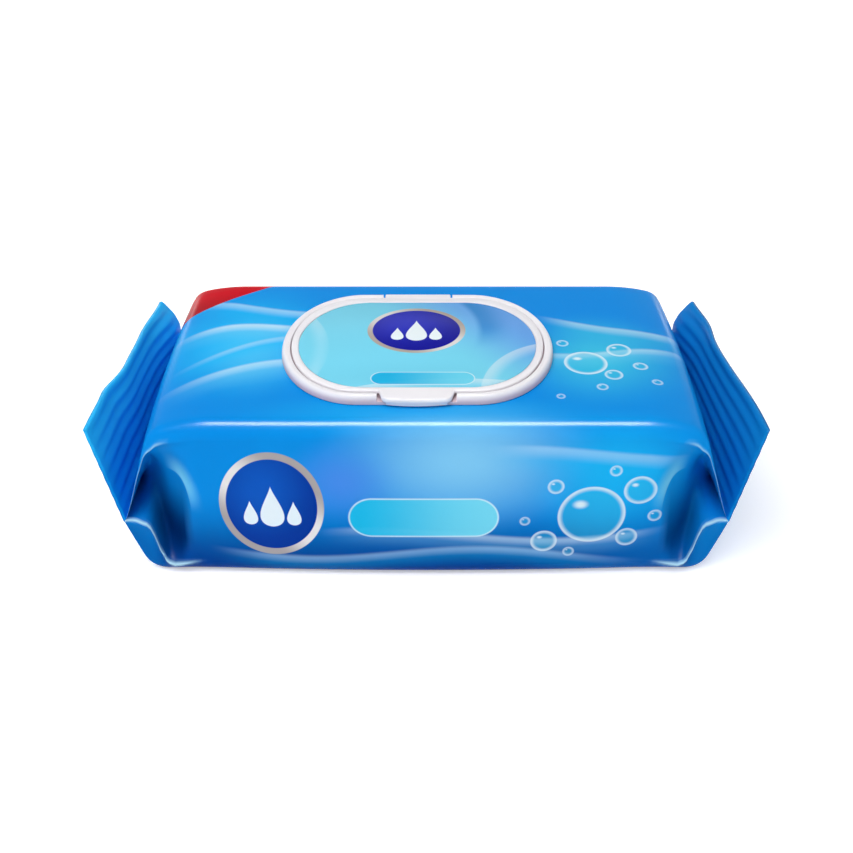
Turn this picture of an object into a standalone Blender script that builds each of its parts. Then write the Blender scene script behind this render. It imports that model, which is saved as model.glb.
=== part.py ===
# Wet wipes pack: printed film sealed round a stack of sheets, with a moulded flip-top lid
# Metres, +Z up, the front towards -Y, the origin under the middle of the pack

import math

import bmesh
import bpy

# Film pack
PACK_LENGTH = 0.184  # top panel, from end crease to end crease
PACK_DEPTH = 0.104
PACK_HEIGHT = 0.064
EDGE_RADIUS = 0.0060  # long edges of the body
END_RADIUS = 0.0015  # and what they come down to at the end seals
END_DROOP = 0.0040  # fall of the top panel at its end creases
DROOP_RUN = 0.0200  # length over which it falls
END_BOW = 0.0026  # an end crease bows out by this in the middle
END_BOW_SIDE = 0.0011  # and by this at the corners
WALL_BULGE = 0.0008  # front and back walls swell by this at mid height
FOOT_BOW = 0.0024  # the sheets spread, so the walls bow out along their foot
CREASE_REACH = 0.0045  # how far the rounding of an end crease runs to each side
BOTTOM_EXTRA = 0.0070  # the bottom panel is longer than the top one at each end
BOTTOM_REACH = 0.0070  # rounding where the bottom panel turns up

# End seals
SEAL_OUT = 0.0130  # seal root outboard of the top crease
SEAL_ROOT_HEIGHT = 0.0235  # seal root above the bottom panel
SEAL_WIDTH = 0.0385  # root to free edge
SEAL_LEAN = math.radians(11.5)  # outward from upright, at the front
SEAL_BACK_LEAN = math.radians(4.5)  # at the back the film leans in
SEAL_BACK_SHORT = 0.0065  # and is rolled down
SEAL_CURL = 0.0050  # the seal's back end curls in over the body by this
SEAL_CURL_RUN = 0.0218  # length of the curl, from the seal's back end
SEAL_THICKNESS = 0.0012
SEAL_INSET = 0.0012  # the seal is narrower than the body, at each side
SEAL_RIDGES = 7
RIDGE_HEIGHT = 0.00034
# Waves of the free edge: place along the depth, width and height
LEFT_WAVES = ((-0.46, 0.12, 0.0009), (-0.16, 0.18, -0.0011), (0.54, 0.28, 0.0015))
RIGHT_WAVES = ((-0.20, 0.36, -0.0006), (0.62, 0.26, 0.0023))

# Side gussets, where the front and back walls fold in at the ends
GUSSET_DEPTH = 0.0260
GUSSET_GROWTH = 1.45  # above 1 the pocket starts shallow and deepens towards the seal
GUSSET_SHARPNESS = 2.2  # above 2 the pocket is flatter in its middle and steeper at its edges
# Where the pocket starts: share of the pack's height, and distance inboard of the end crease
POCKET_START = (
    (0.00, 0.0050), (0.09, 0.0070), (0.25, 0.0100), (0.50, 0.0118),
    (0.66, 0.0128), (0.77, 0.0118), (0.86, 0.0085), (0.97, 0.0030),
)
# Film edge below the pocket: share of the way from the end crease to the seal root, and of the root's height
LOWER_FOLD = (
    (-0.92, 0.18), (-0.08, 0.19), (0.08, 0.28), (0.23, 0.49), (0.38, 0.77),
    (0.50, 0.91), (0.62, 0.98), (0.85, 1.00), (1.15, 0.99),
)
TOP_FOLD = 0.0038  # film edge above the pocket, at the corner
TOP_FOLD_END = 0.0010  # and at the seal root
LOWER_BEAD = 0.0015  # the film edge below the pocket rolls out by this
LOWER_BEAD_WIDTH = 0.0021
TOP_BEAD = 0.0008  # and the one above it by this
TOP_BEAD_WIDTH = 0.0014
FOLD_APART = 0.0003  # least distance between the two folded edges

# Back seam, folded flat along the underside
SEAM_WIDTH = 0.0120
SEAM_GROOVE = 0.0005  # depth and half width of the line at each of its edges

# Lid frame, bonded on the film
LID_CENTRE_X = -0.0033
LID_CENTRE_Y = -0.0028
FRAME_LENGTH = 0.0982
FRAME_DEPTH = 0.0742
FRAME_STRAIGHT = 0.0400  # straight stretch of its front and back
FRAME_HEIGHT = 0.0034
FRAME_RIM = 0.0031  # width of its raised rim
FRAME_FLOOR = 0.0009  # ledge thickness round the opening
FRAME_LEDGE = 0.0092  # ledge width from rim to opening
FRAME_FOOT = 0.0006  # upright foot below the rounded outside
FRAME_FALL = 0.0003  # the rim's top falls inward by this
FRAME_ROUND = 0.0014  # width of the rim's rounded outside
NOTCH_FLOOR = 0.0011  # what is left of the rim under the tab and the hinge
NOTCH_INBOARD = 0.0002  # the notches run past the rim's inner face by this
CUTTER_REACH = 0.0040  # and their cutters past its outside and top by this
SOFT_EDGE = 0.0003  # small rounding of the mouldings' edges

# Flip lid
LID_GAP = 0.0005  # groove between lid and rim
LID_PROUD = 0.0002  # lid above the rim
LID_PLATE = 0.0013
LABEL_BORDER_SIDE = 0.0024
LABEL_BORDER_FRONT = 0.0018
LABEL_BORDER_BACK = 0.0042
LABEL_RECESS = 0.0005
RIB_SET_BACK = 0.0050  # sealing rib, inboard of the lid's edge
RIB_WIDTH = 0.0010
RIB_GAP = 0.0004  # rib above the ledge
LID_LAP = 0.0012  # tab and hinge block run this far into the lid's plate

# Finger tab
TAB_WIDTH = 0.0262
TAB_TAPER = 0.0016  # it narrows by this towards its tip, at each side
TAB_OVERHANG = 0.0014  # beyond the frame's foot
TAB_BOW = 0.0009  # its front edge bows out
TAB_SIDE_GAP = 0.0004
TAB_UNDER_GAP = 0.0004
TAB_LIP = 0.0010  # the lip at its tip hangs below it
LIP_SET_BACK = 0.0003  # from the tab's front edge
LIP_SIDE = 0.0010  # the lip is narrower than the tab's tip, at each side
LIP_ROOT = 0.0005  # its part inside the tab
TAB_ROUND = 0.0006
TAB_POINTS = 8

# Living hinge
HINGE_WIDTH = 0.0252
HINGE_NOTCH = 0.0010  # open notch at each end of it
HINGE_INSET = 0.0004  # lid's rear edge inboard of the frame's
HINGE_GAP = 0.0006  # between the lid and what is left of the rim
HINGE_ROUND = 0.0006
WEB_THICKNESS = 0.0003
WEB_GAP = 0.0003

# Labels
LABEL_THICKNESS = 0.0002
LABEL_CLEARANCE = 0.0003
SEAL_LABEL_MARGIN = 0.0035  # to the frame's opening, at the sides
SEAL_LABEL_CORNER = 0.0128
SEAL_LABEL_TAB = 0.0110  # length of its pull tab
SEAL_LABEL_TAB_RADIUS = 0.0094
SEAT_GAP = 0.0003  # between pieces that are bonded

# Facets
OUTLINE_POINTS = 96
TOP_POINTS = 12

FRAME_BOTTOM = PACK_HEIGHT + SEAT_GAP
FRAME_TOP = FRAME_BOTTOM + FRAME_HEIGHT
LID_TOP = FRAME_TOP + LID_PROUD
LID_UNDERSIDE = LID_TOP - LID_PLATE
NOTCH_TOP = FRAME_BOTTOM + NOTCH_FLOOR
HINGE_AXIS_Y = LID_CENTRE_Y + FRAME_DEPTH / 2 - HINGE_INSET
HINGE_AXIS_Z = NOTCH_TOP + HINGE_GAP / 2


def clear_scene():
    for old in list(bpy.data.objects):
        bpy.data.objects.remove(old, do_unlink=True)


def make_material(name, colour, roughness, metallic=0.0):
    material = bpy.data.materials.new(name)
    material.use_nodes = True
    shader = material.node_tree.nodes["Principled BSDF"]
    shader.inputs["Base Color"].default_value = (*colour, 1.0)
    shader.inputs["Roughness"].default_value = roughness
    shader.inputs["Metallic"].default_value = metallic
    return material


def add_object(name, bm, material, origin=(0.0, 0.0, 0.0)):
    """Makes an object from a bmesh in world coordinates, with its origin at the given point."""
    bmesh.ops.translate(bm, verts=bm.verts, vec=[-value for value in origin])
    mesh = bpy.data.meshes.new(name)
    bm.to_mesh(mesh)
    bm.free()
    mesh.materials.append(material)
    mesh.shade_smooth()
    mesh.set_sharp_from_angle(angle=math.radians(35))
    new = bpy.data.objects.new(name, mesh)
    new.location = origin
    bpy.context.collection.objects.link(new)
    return new


def smooth_step(value):
    value = min(1.0, max(0.0, value))
    return value * value * (3 - 2 * value)


def mix(low, high, share):
    return low + (high - low) * share


def from_table(table, place):
    """Reads a table of (place, value) pairs, with straight lines between them."""
    if place <= table[0][0]:
        return table[0][1]
    for (low, first), (high, second) in zip(table, table[1:]):
        if place <= high:
            return mix(first, second, (place - low) / (high - low))
    return table[-1][1]


def bend(start, corner, end, steps):
    """Points of a rounded corner in a plane, without its first point."""
    points = []
    for step in range(1, steps + 1):
        t = step / steps
        points.append(
            tuple((1 - t) ** 2 * a + 2 * t * (1 - t) * b + t * t * c for a, b, c in zip(start, corner, end))
        )
    return points


def towards(start, end, distance):
    length = math.dist(start, end)
    return tuple(mix(a, b, distance / length) for a, b in zip(start, end))


def along(start, end, steps):
    """Evenly spaced points from start to end, without the first."""
    return [tuple(mix(a, b, step / steps) for a, b in zip(start, end)) for step in range(1, steps + 1)]


# Film pack, lofted through skewed rings from one end seal to the other

BODY_STEPS = 3
DROOP_STEPS = 3
CREASE_STEPS = 6
FLAP_STEPS = 8
SEAL_STEPS = 3 * SEAL_RIDGES
POCKET_STEPS = 9  # odd, so the free edge of a seal closes evenly
ARC_STEPS = 3


def top_profile():
    """The top panel's section from the middle to the seal root, as (x, z)."""
    half = PACK_LENGTH / 2
    flat = half - DROOP_RUN
    points = [(0.0, PACK_HEIGHT)]
    points += along(points[0], (flat, PACK_HEIGHT), BODY_STEPS)
    crease = (half, PACK_HEIGHT - END_DROOP)
    root = (half + SEAL_OUT, SEAL_ROOT_HEIGHT)
    for step in range(1, DROOP_STEPS + 1):
        share = step / DROOP_STEPS * (1 - CREASE_REACH / DROOP_RUN)
        points.append((flat + DROOP_RUN * share, PACK_HEIGHT - END_DROOP * share**2))
    turn = towards(crease, root, CREASE_REACH)
    points += bend(points[-1], crease, turn, CREASE_STEPS)
    points += along(turn, root, FLAP_STEPS)
    return points


def bottom_profile():
    """The bottom panel's section from the middle to the seal root, as (x, z)."""
    half = PACK_LENGTH / 2
    corner = (half + BOTTOM_EXTRA, 0.0)
    root = (half + SEAL_OUT + SEAL_THICKNESS, SEAL_ROOT_HEIGHT - SEAL_THICKNESS)
    start = (corner[0] - BOTTOM_REACH, 0.0)
    points = [(0.0, 0.0)]
    points += along(points[0], (half - DROOP_RUN, 0.0), BODY_STEPS)
    points += along(points[-1], start, DROOP_STEPS)
    turn = towards(corner, root, BOTTOM_REACH)
    points += bend(start, corner, turn, CREASE_STEPS)
    points += along(turn, root, FLAP_STEPS)
    return points


def free_edge_wave(side, depth_share):
    waves = RIGHT_WAVES if side > 0 else LEFT_WAVES
    return sum(high * math.exp(-(((depth_share - place) / wide) ** 2)) for place, wide, high in waves)


def seal_point(side, root, share, y):
    """A point of the end seal's inner face, at a share of its width."""
    depth_share = y / (PACK_DEPTH / 2)
    back = smooth_step((depth_share + 1) / 2)
    lean = mix(SEAL_LEAN, SEAL_BACK_LEAN, back)
    reach = share * mix(SEAL_WIDTH, SEAL_WIDTH - SEAL_BACK_SHORT, back)
    ridge = RIDGE_HEIGHT * math.sin(math.tau * SEAL_RIDGES * share) * smooth_step(share * 8)
    ridge *= 1 - depth_share**8
    curl = SEAL_CURL * math.exp(-(((PACK_DEPTH / 2 - y) / SEAL_CURL_RUN) ** 2))
    curl *= math.sin(math.pi * share**1.5)
    wave = free_edge_wave(side, depth_share) * share**1.5 + ridge - curl
    x = root[0] + reach * math.sin(lean) + wave * math.cos(lean)
    z = root[1] + reach * math.cos(lean) - wave * math.sin(lean)
    return x, z


def fold_places(top, bottom, radius, run):
    """How far down the wall its two folded edges lie, above and below the pocket."""
    length = math.dist(top, bottom)
    top_fold = mix(TOP_FOLD, TOP_FOLD_END, smooth_step(run * 1.4))
    upper = max(radius * 1.1, min(top_fold, 0.22 * length))
    outboard = (bottom[0] - PACK_LENGTH / 2) / SEAL_OUT
    fold_height = from_table(LOWER_FOLD, outboard) * SEAL_ROOT_HEIGHT
    rise = max(0.3, (top[1] - bottom[1]) / length)
    below = min((fold_height - bottom[1]) / rise, 0.80 * length, length - upper - FOLD_APART)
    return upper, length - max(radius * 1.1, below)


def pocket_depth(x, z, share):
    """How far the wall folds in, at a share of the way between its two folded edges."""
    start = PACK_LENGTH / 2 - from_table(POCKET_START, z / PACK_HEIGHT)
    seal = PACK_LENGTH / 2 + SEAL_OUT
    reach = min(1.0, max(0.0, (x - start) / (seal - start)))
    return GUSSET_DEPTH * reach**GUSSET_GROWTH * (1 - abs(2 * share - 1) ** GUSSET_SHARPNESS)


def fold_beads(distance, folds, run):
    """How far the film stands out along the two folded edges."""
    upper = TOP_BEAD * math.exp(-(((distance - folds[0]) / TOP_BEAD_WIDTH) ** 2))
    lower = LOWER_BEAD * math.exp(-(((distance - folds[1]) / LOWER_BEAD_WIDTH) ** 2))
    return (upper + lower) * smooth_step(run * 2.5) * smooth_step((1 - run) * 5)


def side_wall(top, bottom, half_depth, radius, swell, run, sealed):
    """Points down the back wall, from the top panel to the bottom one, as (x, y, z)."""
    length = math.dist(top, bottom)
    radius = min(radius, 0.4 * length)
    folds = fold_places(top, bottom, radius, run)
    places = []
    for step in range(ARC_STEPS + 1):
        angle = math.pi / 2 * step / ARC_STEPS
        places.append((radius * (1 - math.cos(angle)), radius * (1 - math.sin(angle)), 0.0))
    for step in range(POCKET_STEPS + 1):
        share = (1 - math.cos(math.pi * step / POCKET_STEPS)) / 2
        places.append((mix(*folds, share), 0.0, share))
    for step in range(ARC_STEPS + 1):
        angle = math.pi / 2 * (1 - step / ARC_STEPS)
        places.append((length - radius * (1 - math.cos(angle)), radius * (1 - math.sin(angle)), 1.0))
    points = []
    for distance, inset, share in places:
        down = distance / length
        x = mix(top[0], bottom[0], down)
        z = mix(top[1], bottom[1], down)
        out = swell * (WALL_BULGE * math.sin(math.pi * down) + FOOT_BOW * smooth_step(down * 1.5))
        if not sealed:
            out += fold_beads(distance, folds, run) - pocket_depth(x, z, share)
        points.append((x, half_depth - inset + out, z))
    return points


def underside_places(reach, groove):
    """Places across the underside, as (y, height), with a line at each edge of the back seam."""
    edge = SEAM_WIDTH / 2
    half = [(0.0, 0.0), (edge, 0.0), (edge + SEAM_GROOVE, groove), (edge + 2 * SEAM_GROOVE, 0.0)]
    half += [(mix(edge, reach, 0.4), 0.0), (mix(edge, reach, 0.75), 0.0)]
    return half[::-1] + [(-y, height) for y, height in half[1:]]


def ring_points(side, station, top_line, bottom_line):
    """One closed ring: over the top, down the back, under the bottom and up the front."""
    last = len(top_line) - 1
    in_seal = max(0, station - last)
    base = min(station, last)
    top = top_line[base]
    bottom = bottom_line[base]
    half = PACK_LENGTH / 2
    seal = half + SEAL_OUT
    flat = half - DROOP_RUN
    end_share = smooth_step((top[0] - flat) / (seal - flat))
    half_depth = mix(PACK_DEPTH / 2, PACK_DEPTH / 2 - SEAL_INSET, end_share)
    radius = mix(EDGE_RADIUS, END_RADIUS, end_share)
    pocket_from = half - max(inboard for height, inboard in POCKET_START)
    run = max(0.0, (max(top[0], bottom[0]) - pocket_from) / (seal - pocket_from))
    swell = (1 - min(1.0, top[0] / half) ** 2) * (1 - end_share)
    bow = smooth_step((top[0] - flat) / DROOP_RUN) * smooth_step((seal - top[0]) / SEAL_OUT)
    share = in_seal / SEAL_STEPS

    def on_top(y):
        if in_seal:
            return seal_point(side, top, share, y)
        return top[0] + mix(END_BOW, END_BOW_SIDE, (2 * y / PACK_DEPTH) ** 2) * bow, top[1]

    def on_bottom(y):
        if not in_seal:
            return bottom
        inner = seal_point(side, top, share, y)
        return inner[0] + SEAL_THICKNESS, inner[1] - SEAL_THICKNESS * (1 - share)

    walls = []
    for y in (half_depth, -half_depth):
        walls.append(side_wall(on_top(y), on_bottom(y), half_depth, radius, swell, run, base == last))
    back, front = walls
    reach = back[0][1]
    ys = [mix(-reach, reach, step / TOP_POINTS) for step in range(1, TOP_POINTS)]
    points = [(on_top(y)[0], y, on_top(y)[1]) for y in ys]
    points += back
    for y, height in underside_places(reach, SEAM_GROOVE * (1 - end_share)):
        points.append((on_bottom(y)[0], y, on_bottom(y)[1] + height))
    points += [(x, -y, z) for x, y, z in reversed(front)]
    return [(side * x, y, z) for x, y, z in points]


def build_film_pack(material):
    top_line = top_profile()
    bottom_line = bottom_profile()
    stations = len(top_line) + SEAL_STEPS
    rings = [ring_points(-1, station, top_line, bottom_line) for station in range(stations - 1, 0, -1)]
    rings += [ring_points(1, station, top_line, bottom_line) for station in range(stations)]
    bm = bmesh.new()
    loops = loft(bm, rings)
    close_seal_edge(bm, loops[0])
    close_seal_edge(bm, loops[-1])
    bmesh.ops.recalc_face_normals(bm, faces=bm.faces)
    return add_object("film_pack", bm, material)


def close_seal_edge(bm, loop):
    """Fills the narrow free edge of an end seal between its two faces."""
    across = TOP_POINTS - 1
    wall = 2 * (ARC_STEPS + 1) + POCKET_STEPS + 1
    top = loop[:across]
    back = loop[across : across + wall]
    bottom = loop[across + wall : -wall][::-1]
    front = loop[-wall:][::-1]
    middle = wall // 2
    upper = front[:middle][::-1] + top + back[:middle]
    lower = front[wall - middle :] + bottom + back[wall - middle :][::-1]
    for a, b, c, d in zip(upper, upper[1:], lower[1:], lower):
        bm.faces.new((a, b, c, d))


# Outlines of the lid and its frame: a straight stretch with elliptical ends

def outline(length, depth, straight, centre_y=LID_CENTRE_Y):
    """Points round the outline, anticlockwise from its right end."""
    quarter = OUTLINE_POINTS // 4
    run = max(2, quarter // 4)
    arc = quarter - run
    half_straight = straight / 2
    corner = []
    for step in range(arc + 1):
        angle = math.pi / 2 * step / arc
        corner.append(
            (half_straight + (length / 2 - half_straight) * math.cos(angle), depth / 2 * math.sin(angle))
        )
    corner += [(half_straight * (1 - step / run), depth / 2) for step in range(1, run)]
    right = corner
    top_left = [(-x, y) for x, y in reversed(corner)]
    bottom_left = [(-x, -y) for x, y in corner]
    bottom_right = [(x, -y) for x, y in reversed(corner)]
    points = right + [(0.0, depth / 2)] + top_left[:-1]
    points += bottom_left + [(0.0, -depth / 2)] + bottom_right[:-1]
    return [(LID_CENTRE_X + x, centre_y + y) for x, y in points]


def frame_outline(inset):
    return outline(FRAME_LENGTH - 2 * inset, FRAME_DEPTH - 2 * inset, FRAME_STRAIGHT)


def loft(bm, rings):
    """Joins closed rings of points with faces, in order, and returns the vertex loops."""
    loops = [[bm.verts.new(point) for point in ring] for ring in rings]
    for lower, upper in zip(loops, loops[1:]):
        count = len(lower)
        for index in range(count):
            after = (index + 1) % count
            bm.faces.new((lower[index], lower[after], upper[after], upper[index]))
    return loops


def at_height(points, z):
    return [(x, y, z) for x, y in points]


def block(name, corners, low, high, bevel=0.0):
    """A prism over a plan outline, with its upright and top edges rounded if asked."""
    bm = bmesh.new()
    loops = loft(bm, [at_height(corners, low), at_height(corners, high)])
    bm.faces.new(loops[0][::-1])
    bm.faces.new(loops[1])
    if bevel:
        edges = [edge for edge in bm.edges if any(abs(v.co.z - high) < 1e-6 for v in edge.verts)]
        bmesh.ops.bevel(
            bm, geom=edges, offset=bevel, offset_type="OFFSET", segments=3, profile=0.5, affect="EDGES"
        )
    bmesh.ops.recalc_face_normals(bm, faces=bm.faces)
    mesh = bpy.data.meshes.new(name)
    bm.to_mesh(mesh)
    bm.free()
    return mesh


def helper(name, mesh):
    """A cutter or a filler that is used by a Boolean and left out of the model."""
    new = bpy.data.objects.new(name, mesh)
    new.hide_render = True
    new.display_type = "WIRE"
    bpy.context.collection.objects.link(new)
    return new


def add_boolean(target, tool, operation):
    modifier = target.modifiers.new(tool.name, "BOOLEAN")
    modifier.operation = operation
    modifier.object = tool
    modifier.solver = "EXACT"


def rectangle(left, right, front, back):
    return [(left, front), (right, front), (right, back), (left, back)]


# Lid frame

def frame_rings():
    """The frame's section, swept round its outline from the foot to the opening and back."""
    crown = FRAME_HEIGHT - FRAME_FOOT
    section = [(0.0, 0.0), (0.0, FRAME_FOOT)]
    for step in range(1, 6):
        angle = math.pi / 2 * step / 5
        section.append((FRAME_ROUND * (1 - math.cos(angle)), FRAME_FOOT + crown * math.sin(angle)))
    rim_top = FRAME_HEIGHT - FRAME_FALL
    section += [(FRAME_RIM - SOFT_EDGE, rim_top), (FRAME_RIM, rim_top - SOFT_EDGE), (FRAME_RIM, FRAME_FLOOR)]
    opening = FRAME_RIM + FRAME_LEDGE
    section += [(opening - SOFT_EDGE, FRAME_FLOOR), (opening, FRAME_FLOOR - SOFT_EDGE), (opening, 0.0)]
    return [at_height(frame_outline(inset), FRAME_BOTTOM + height) for inset, height in section]


def build_lid_base(material):
    bm = bmesh.new()
    loops = loft(bm, frame_rings())
    count = len(loops[0])
    for index in range(count):
        after = (index + 1) % count
        bm.faces.new((loops[-1][index], loops[-1][after], loops[0][after], loops[0][index]))
    bmesh.ops.recalc_face_normals(bm, faces=bm.faces)
    base = add_object("lid_base", bm, material)
    front = LID_CENTRE_Y - FRAME_DEPTH / 2
    back = LID_CENTRE_Y + FRAME_DEPTH / 2
    inboard = FRAME_RIM + NOTCH_INBOARD
    tab_half = TAB_WIDTH / 2 + TAB_SIDE_GAP
    hinge_half = HINGE_WIDTH / 2 + HINGE_NOTCH
    cut_notch(base, "tab_notch", tab_half, front - CUTTER_REACH, front + inboard)
    cut_notch(base, "hinge_notch", hinge_half, back - inboard, back + CUTTER_REACH)
    return base


def cut_notch(base, name, half_width, front, back):
    """Cuts the rim down to the notch floor over a stretch of its front or back."""
    plan = rectangle(LID_CENTRE_X - half_width, LID_CENTRE_X + half_width, front, back)
    cutter = helper(name, block(name, plan, NOTCH_TOP, LID_TOP + CUTTER_REACH))
    add_boolean(base, cutter, "DIFFERENCE")


# Flip lid

def lid_outline(inset):
    edge = FRAME_RIM + LID_GAP + inset
    return frame_outline(edge)


def label_outline(inset):
    """The label's seat, which sits nearer the front than the lid's own outline."""
    edge = FRAME_RIM + LID_GAP
    length = FRAME_LENGTH - 2 * (edge + LABEL_BORDER_SIDE + inset)
    depth = FRAME_DEPTH - 2 * edge - LABEL_BORDER_FRONT - LABEL_BORDER_BACK - 2 * inset
    centre_y = LID_CENTRE_Y + (LABEL_BORDER_FRONT - LABEL_BORDER_BACK) / 2
    return outline(length, depth, FRAME_STRAIGHT - 2 * LABEL_BORDER_SIDE, centre_y)


def lid_rings():
    """The lid from the middle of its underside, out round its edge, to the label's seat."""
    rib_low = FRAME_BOTTOM + FRAME_FLOOR + RIB_GAP
    rib_in = RIB_SET_BACK + RIB_WIDTH
    slight = SOFT_EDGE * 0.6
    return [
        at_height(lid_outline(rib_in), LID_UNDERSIDE),
        at_height(lid_outline(rib_in), rib_low + SOFT_EDGE),
        at_height(lid_outline(rib_in - SOFT_EDGE), rib_low),
        at_height(lid_outline(RIB_SET_BACK + SOFT_EDGE), rib_low),
        at_height(lid_outline(RIB_SET_BACK), rib_low + SOFT_EDGE),
        at_height(lid_outline(RIB_SET_BACK), LID_UNDERSIDE),
        at_height(lid_outline(0.0), LID_UNDERSIDE),
        at_height(lid_outline(0.0), LID_TOP - 2 * SOFT_EDGE),
        at_height(lid_outline(slight), LID_TOP - slight),
        at_height(lid_outline(2 * SOFT_EDGE), LID_TOP),
        at_height(label_outline(-SOFT_EDGE), LID_TOP),
        at_height(label_outline(0.0), LID_TOP - slight),
        at_height(label_outline(0.0), LID_TOP - LABEL_RECESS),
    ]


def bowed_plan(front, back, tip_half, root_half):
    """A plan with straight sides and a front edge that bows out."""
    points = [(LID_CENTRE_X + root_half, back), (LID_CENTRE_X - root_half, back)]
    for step in range(TAB_POINTS + 1):
        share = 2 * step / TAB_POINTS - 1
        points.append((LID_CENTRE_X + share * tip_half, front - TAB_BOW * (1 - share**2)))
    return points


def build_lid(material):
    bm = bmesh.new()
    loops = loft(bm, lid_rings())
    bm.faces.new(loops[0][::-1])
    bm.faces.new(loops[-1])
    bmesh.ops.recalc_face_normals(bm, faces=bm.faces)
    lid = add_object("lid", bm, material, (LID_CENTRE_X, HINGE_AXIS_Y, HINGE_AXIS_Z))
    add_finger_tab(lid)
    add_hinge_block(lid)
    return lid


def add_finger_tab(lid):
    """The tab over the frame's front notch, with a lip under its tip for the finger."""
    front = LID_CENTRE_Y - FRAME_DEPTH / 2
    tip = front - TAB_OVERHANG
    low = NOTCH_TOP + TAB_UNDER_GAP
    tip_half = TAB_WIDTH / 2 - TAB_TAPER
    plan = bowed_plan(tip, front + FRAME_RIM + LID_GAP + LID_LAP, tip_half, TAB_WIDTH / 2)
    add_boolean(lid, helper("tab_filler", block("tab", plan, low, LID_TOP, TAB_ROUND)), "UNION")
    lip_half = tip_half - LIP_SIDE
    lip_plan = bowed_plan(tip + LIP_SET_BACK, front - TAB_UNDER_GAP, lip_half, lip_half)
    add_boolean(lid, helper("lip_filler", block("lip", lip_plan, low - TAB_LIP, low + LIP_ROOT)), "UNION")


def add_hinge_block(lid):
    """The block at the lid's rear edge that the hinge web grows out of."""
    half = HINGE_WIDTH / 2
    inner = LID_CENTRE_Y + FRAME_DEPTH / 2 - FRAME_RIM - LID_GAP - LID_LAP
    plan = rectangle(LID_CENTRE_X - half, LID_CENTRE_X + half, inner, HINGE_AXIS_Y)
    filler = helper("hinge_filler", block("hinge", plan, NOTCH_TOP + HINGE_GAP, LID_TOP, HINGE_ROUND))
    add_boolean(lid, filler, "UNION")


def build_hinge_web(material):
    """The thin strip behind the hinge line, from the frame's foot up to the lid."""
    near = LID_CENTRE_Y + FRAME_DEPTH / 2 + WEB_GAP
    half = HINGE_WIDTH / 2
    low = FRAME_BOTTOM + SEAT_GAP
    high = HINGE_AXIS_Z + HINGE_GAP
    bm = bmesh.new()
    plan = rectangle(LID_CENTRE_X - half, LID_CENTRE_X + half, near, near + WEB_THICKNESS)
    loops = loft(bm, [at_height(plan, z) for z in (low, mix(low, high, 0.5), high)])
    bm.faces.new(loops[0][::-1])
    bm.faces.new(loops[-1])
    bmesh.ops.recalc_face_normals(bm, faces=bm.faces)
    return add_object("hinge_web", bm, material)


# Labels

def build_lid_label(material):
    low = LID_TOP - LABEL_RECESS + SEAT_GAP
    bm = bmesh.new()
    edge = label_outline(LABEL_CLEARANCE)
    loops = loft(bm, [at_height(edge, low), at_height(edge, low + LABEL_THICKNESS)])
    bm.faces.new(loops[0][::-1])
    bm.faces.new(loops[1])
    bmesh.ops.recalc_face_normals(bm, faces=bm.faces)
    return add_object("lid_label", bm, material)


def build_seal_label(material):
    """The resealing label over the dispensing slit, with a round pull tab at its left end."""
    opening = FRAME_RIM + FRAME_LEDGE
    length = FRAME_LENGTH - 2 * (opening + SEAL_LABEL_MARGIN) - SEAL_LABEL_TAB
    depth = FRAME_DEPTH - 2 * (opening + SEAL_LABEL_MARGIN)
    left = LID_CENTRE_X - FRAME_LENGTH / 2 + opening + SEAL_LABEL_MARGIN
    corner = SEAL_LABEL_CORNER
    body_left = left + SEAL_LABEL_TAB
    body_right = body_left + length
    points = []
    centres = [
        (body_right - corner, LID_CENTRE_Y - depth / 2 + corner, -90),
        (body_right - corner, LID_CENTRE_Y + depth / 2 - corner, 0),
        (body_left + corner, LID_CENTRE_Y + depth / 2 - corner, 90),
    ]
    for x, y, start in centres:
        points += arc_points(x, y, corner, start, 90, 8)
    tab_radius = SEAL_LABEL_TAB_RADIUS
    points += arc_points(left + tab_radius, LID_CENTRE_Y, tab_radius, 90, 180, 12)
    points += arc_points(body_left + corner, LID_CENTRE_Y - depth / 2 + corner, corner, 180, 90, 8)
    points = [inside_opening(x, y) for x, y in points]
    low = PACK_HEIGHT + SEAT_GAP
    bm = bmesh.new()
    loops = loft(bm, [at_height(points, low), at_height(points, low + LABEL_THICKNESS)])
    bm.faces.new(loops[0][::-1])
    bm.faces.new(loops[1])
    bmesh.ops.recalc_face_normals(bm, faces=bm.faces)
    return add_object("seal_label", bm, material)


def inside_opening(x, y):
    """Keeps a point of the label clear of the frame round its opening."""
    edge = FRAME_RIM + FRAME_LEDGE + LABEL_CLEARANCE
    share = min(1.0, abs(y - LID_CENTRE_Y) / (FRAME_DEPTH / 2 - edge))
    end = FRAME_LENGTH / 2 - edge - FRAME_STRAIGHT / 2
    reach = FRAME_STRAIGHT / 2 + end * math.sqrt(1 - share**2)
    return min(max(x, LID_CENTRE_X - reach), LID_CENTRE_X + reach), y


def arc_points(x, y, radius, start, sweep, steps):
    angles = [math.radians(start + sweep * step / steps) for step in range(steps + 1)]
    return [(x + radius * math.cos(angle), y + radius * math.sin(angle)) for angle in angles]


def main():
    clear_scene()
    film = make_material("printed_film", (0.02, 0.24, 0.70), 0.28)
    white = make_material("white_moulding", (0.82, 0.80, 0.83), 0.35)
    print_label = make_material("printed_label", (0.20, 0.58, 0.82), 0.30)
    clear_label = make_material("seal_label_film", (0.80, 0.88, 0.94), 0.25)
    build_film_pack(film)
    build_lid_base(white)
    build_lid(white)
    build_hinge_web(white)
    build_lid_label(print_label)
    build_seal_label(clear_label)


main()
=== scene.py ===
import math

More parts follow.
